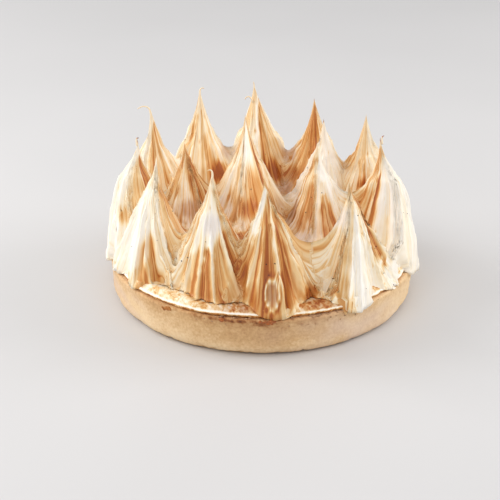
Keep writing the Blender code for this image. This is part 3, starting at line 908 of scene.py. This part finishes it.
def wisp_mesh(wisp):
    """Points and faces of one tapering strand, closed at both ends."""
    peak = PEAKS[wisp.peak]
    path = smooth_path(np.array(wisp.offsets, float) + peak.tip)
    lean = np.clip((path[:, 2:] - LEAN_FROM) / (peak.tip[2] - LEAN_FROM), 0, 1) ** 1.5
    path[:, :2] += (lean - 1) * np.subtract(peak.tip[:2], peak.root)
    along = np.gradient(path, axis=0)
    along /= np.linalg.norm(along, axis=1, keepdims=True)
    side = np.cross(along, (0, 1, 0))
    side /= np.linalg.norm(side, axis=1, keepdims=True)
    other = np.cross(side, along)
    size = wisp.thickness * (1 - 0.72 * np.linspace(0, 1, len(path)))
    turns = 2 * pi * np.arange(WISP_SIDES) / WISP_SIDES
    rings = [p + r * (np.outer(np.cos(turns), s) + np.outer(np.sin(turns), o))
             for p, r, s, o in zip(path, size, side, other)]
    faces = []
    for ring in range(len(path) - 1):
        for i in range(WISP_SIDES):
            j = (i + 1) % WISP_SIDES
            faces.append([ring * WISP_SIDES + k for k in (i, j)] + [(ring + 1) * WISP_SIDES + k for k in (j, i)])
    last = (len(path) - 1) * WISP_SIDES
    faces += [list(range(WISP_SIDES))[::-1], [last + k for k in range(WISP_SIDES)]]
    return np.concatenate(rings), faces


def mesh_piece(name, parts):
    """One object from several sets of points and faces, in metres, with its normals outward."""
    points, faces = [], []
    for made, made_faces in parts:
        first = sum(len(done) for done in points)
        points.append(made)
        faces += [[first + k for k in face] for face in made_faces]
    data = bpy.data.meshes.new(name)
    data.from_pydata((np.concatenate(points) * MM).tolist(), [], faces)
    obj = bpy.data.objects.new(name, data)
    bpy.context.scene.collection.objects.link(obj)
    edit(obj)
    bpy.ops.mesh.select_all(action="SELECT")
    bpy.ops.mesh.normals_make_consistent(inside=False)
    bpy.ops.object.mode_set(mode="OBJECT")
    obj.data.shade_smooth()
    return obj


def wisps(peaks):
    """Thin strands drawn out at the tips, joined to the peaks."""
    made = [wisp_mesh(wisp) for wisp in WISPS]
    obj = mesh_piece("wisps", made)
    obj.data.materials.append(bpy.data.materials["torched_meringue"])
    toast = [WISP_TOAST + (wisp.toast - WISP_TOAST) * ramp(np.linspace(0, 1, len(points)), 0.5, 0.8)
             for wisp, (points, _) in zip(WISPS, made)]
    before = len(peaks.data.vertices)
    bpy.ops.object.select_all(action="DESELECT")
    obj.select_set(True)
    peaks.select_set(True)
    bpy.context.view_layer.objects.active = peaks
    bpy.ops.object.join()
    values = np.empty(len(peaks.data.vertices), np.float32)
    peaks.data.attributes["toast"].data.foreach_get("value", values)
    values[before:] = np.concatenate(toast)
    peaks.data.attributes["toast"].data.foreach_set("value", values)


def lump(draw, middle, size, across, outward):
    """Points and faces of one small uneven grain on a surface."""
    bpy.ops.object.select_all(action="DESELECT")
    bpy.ops.mesh.primitive_ico_sphere_add(subdivisions=2, radius=1)
    ball = bpy.context.object
    points = coordinates(ball)
    faces = [list(face.vertices) for face in ball.data.polygons]
    bpy.data.objects.remove(ball)
    points *= 1 + 0.22 * drift(points + draw.uniform(-9, 9, 3), 1.1, 91)[:, None]
    side = np.cross(outward, (0.3, 0.2, 1))
    side /= np.linalg.norm(side)
    other = np.cross(outward, side)
    points = points * size * (across, draw.uniform(0.7, 1) * across, 0.6)
    return middle + np.outer(points[:, 0], side) + np.outer(points[:, 1], other) + np.outer(points[:, 2], outward), faces


def scattered(name, draw, places, sizes, across, finish):
    """One piece of grains at the places, each a point and its outward direction."""
    parts = [lump(draw, middle, draw.uniform(*sizes), across, outward) for middle, outward in places]
    obj = mesh_piece(name, parts)
    obj.data.materials.append(finish)
    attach(obj, "root")


def case_side(direction, height):
    """A point on the case's wall and its outward direction."""
    out = np.array([cos(radians(direction)), sin(radians(direction)), 0])
    return out * (CASE_RADIUS - 0.1) + (0, 0, height), out


def burnt_flecks(points, outward):
    """Burnt flecks on the meringue: many on the white right side, and a few at the front left."""
    draw = np.random.default_rng(501)
    x, y, z = points.T
    right = np.flatnonzero((x > 62) & (y < 10) & (z > 32) & (z < 92) & (outward[:, 0] > 0.2))
    left = np.flatnonzero((x < -40) & (y < -20) & (z > 36) & (z < 100) & (outward[:, 1] < -0.1))
    middle = np.flatnonzero((abs(x) < 50) & (z > 34) & (z < 90) & (outward[:, 1] < -0.2))
    chosen = np.concatenate([draw.choice(right, 26), draw.choice(left, 14), draw.choice(middle, 16)])
    scattered("burnt_flecks", draw, [(points[i], outward[i]) for i in chosen], (0.25, 0.6), 1,
              plain("burnt_sugar", (62, 34, 22), 0.6))


def syrup_beads():
    """Drops of toffee-brown syrup that ran out over the case's edge at the front."""
    draw = np.random.default_rng(502)
    places = [case_side(direction, height) for direction, height in
              ((-90.5, 29), (-89.6, 28.4), (-88.6, 28.7), (-87.6, 28.3), (-86.6, 28.8),
               (-85.6, 29), (-104, 28.8))]
    finish = plain("amber_syrup", (168, 92, 36), 0.3)
    scattered("syrup_beads", draw, places, (0.7, 1.2), 1.7, finish)


def crumbs():
    """Toasted crumbs along the case's edge at the front, and a larger clump of them at the left."""
    draw = np.random.default_rng(503)
    places = [case_side(direction, height) for direction, height in
              ((-127.3, 27.6), (-126.8, 26.4), (-126.2, 27.6), (-125.5, 28.4), (-125.1, 27.4), (-124.6, 28.7), (-124, 28.2))]
    scattered("crumb_clump", draw, places, (0.7, 1.5), 1.1, plain("brown_crumb", (176, 112, 52), 0.8))
    places = []
    for _ in range(150):
        direction = draw.choice((-100, -72, -64)) + draw.normal() * 7
        spread = draw.uniform(-1, 3.6)
        if spread < 0:
            places.append(case_side(direction, CASE_HEIGHT - draw.uniform(0.5, 6)))
        else:
            out = np.array([cos(radians(direction)), sin(radians(direction)), 0])
            places.append((out * (CASE_RADIUS - 1 - spread) + (0, 0, CASE_HEIGHT + 0.1), np.array([0, 0, 1.0])))
    scattered("crumbs", draw, places, (0.3, 0.85), 1.1, plain("toasted_crumb", (176, 138, 104), 0.85))


# ---------------------------------------------------------------- stage


def floor():
    """A wide pale floor."""
    bpy.ops.object.select_all(action="DESELECT")
    bpy.ops.mesh.primitive_plane_add(size=1, location=(0, 0, 0))
    obj = bpy.context.object
    obj.name = "floor"
    bpy.ops.object.mode_set(mode="EDIT")
    bpy.ops.transform.resize(value=(6, 6, 1))
    bpy.ops.object.mode_set(mode="OBJECT")
    obj.data.materials.append(plain("pale_floor", (206, 206, 208), 0.6, 3, 0.01))


def lamp(name, place_at, target, size, power, colour=(1, 1, 1)):
    data = bpy.data.lights.new(name, "AREA")
    data.shape = "RECTANGLE"
    data.size, data.size_y = size
    data.energy = power
    data.color = colour
    obj = bpy.data.objects.new(name, data)
    bpy.context.scene.collection.objects.link(obj)
    obj.location = place_at
    from mathutils import Vector
    obj.rotation_euler = (Vector(target) - Vector(place_at)).to_track_quat("-Z", "Y").to_euler()


def lights():
    lamp("left_window", (-1.2, 0.2, 0.8), (0, 0, 0.06), (0.9, 0.9), 12, (1, 0.98, 0.95))
    lamp("right_window", (1.2, 0.1, 0.7), (0, 0, 0.06), (0.8, 0.8), 8.4, (1, 0.98, 0.95))
    lamp("front_high", (-0.4, -1.3, 1.5), (0, 0, 0.06), (1.2, 0.8), 8.4, (1, 0.98, 0.95))
    world = bpy.data.worlds.new("room")
    bpy.context.scene.world = world
    world.use_nodes = True
    background = world.node_tree.nodes["Background"]
    background.inputs["Color"].default_value = (1, 0.985, 0.97, 1)
    background.inputs["Strength"].default_value = 0.67


def camera():
    data = bpy.data.cameras.new("camera")
    data.lens = 92.8
    data.sensor_width = 36
    data.clip_end = 20
    obj = bpy.data.objects.new("camera", data)
    bpy.context.scene.collection.objects.link(obj)
    obj.location = (0, -0.8902, 0.4555)
    obj.rotation_euler = (radians(64.39), 0, radians(0.596))
    bpy.context.scene.camera = obj
    bpy.context.scene.view_settings.view_transform = "Standard"


def main():
    peaks = meringue_peaks()
    wisps(peaks)
    surface = coordinates(peaks) / MM
    outward = normals(peaks)
    crust()
    layer()
    burnt_flecks(surface, outward)
    syrup_beads()
    crumbs()
    floor()
    lights()
    camera()


main()
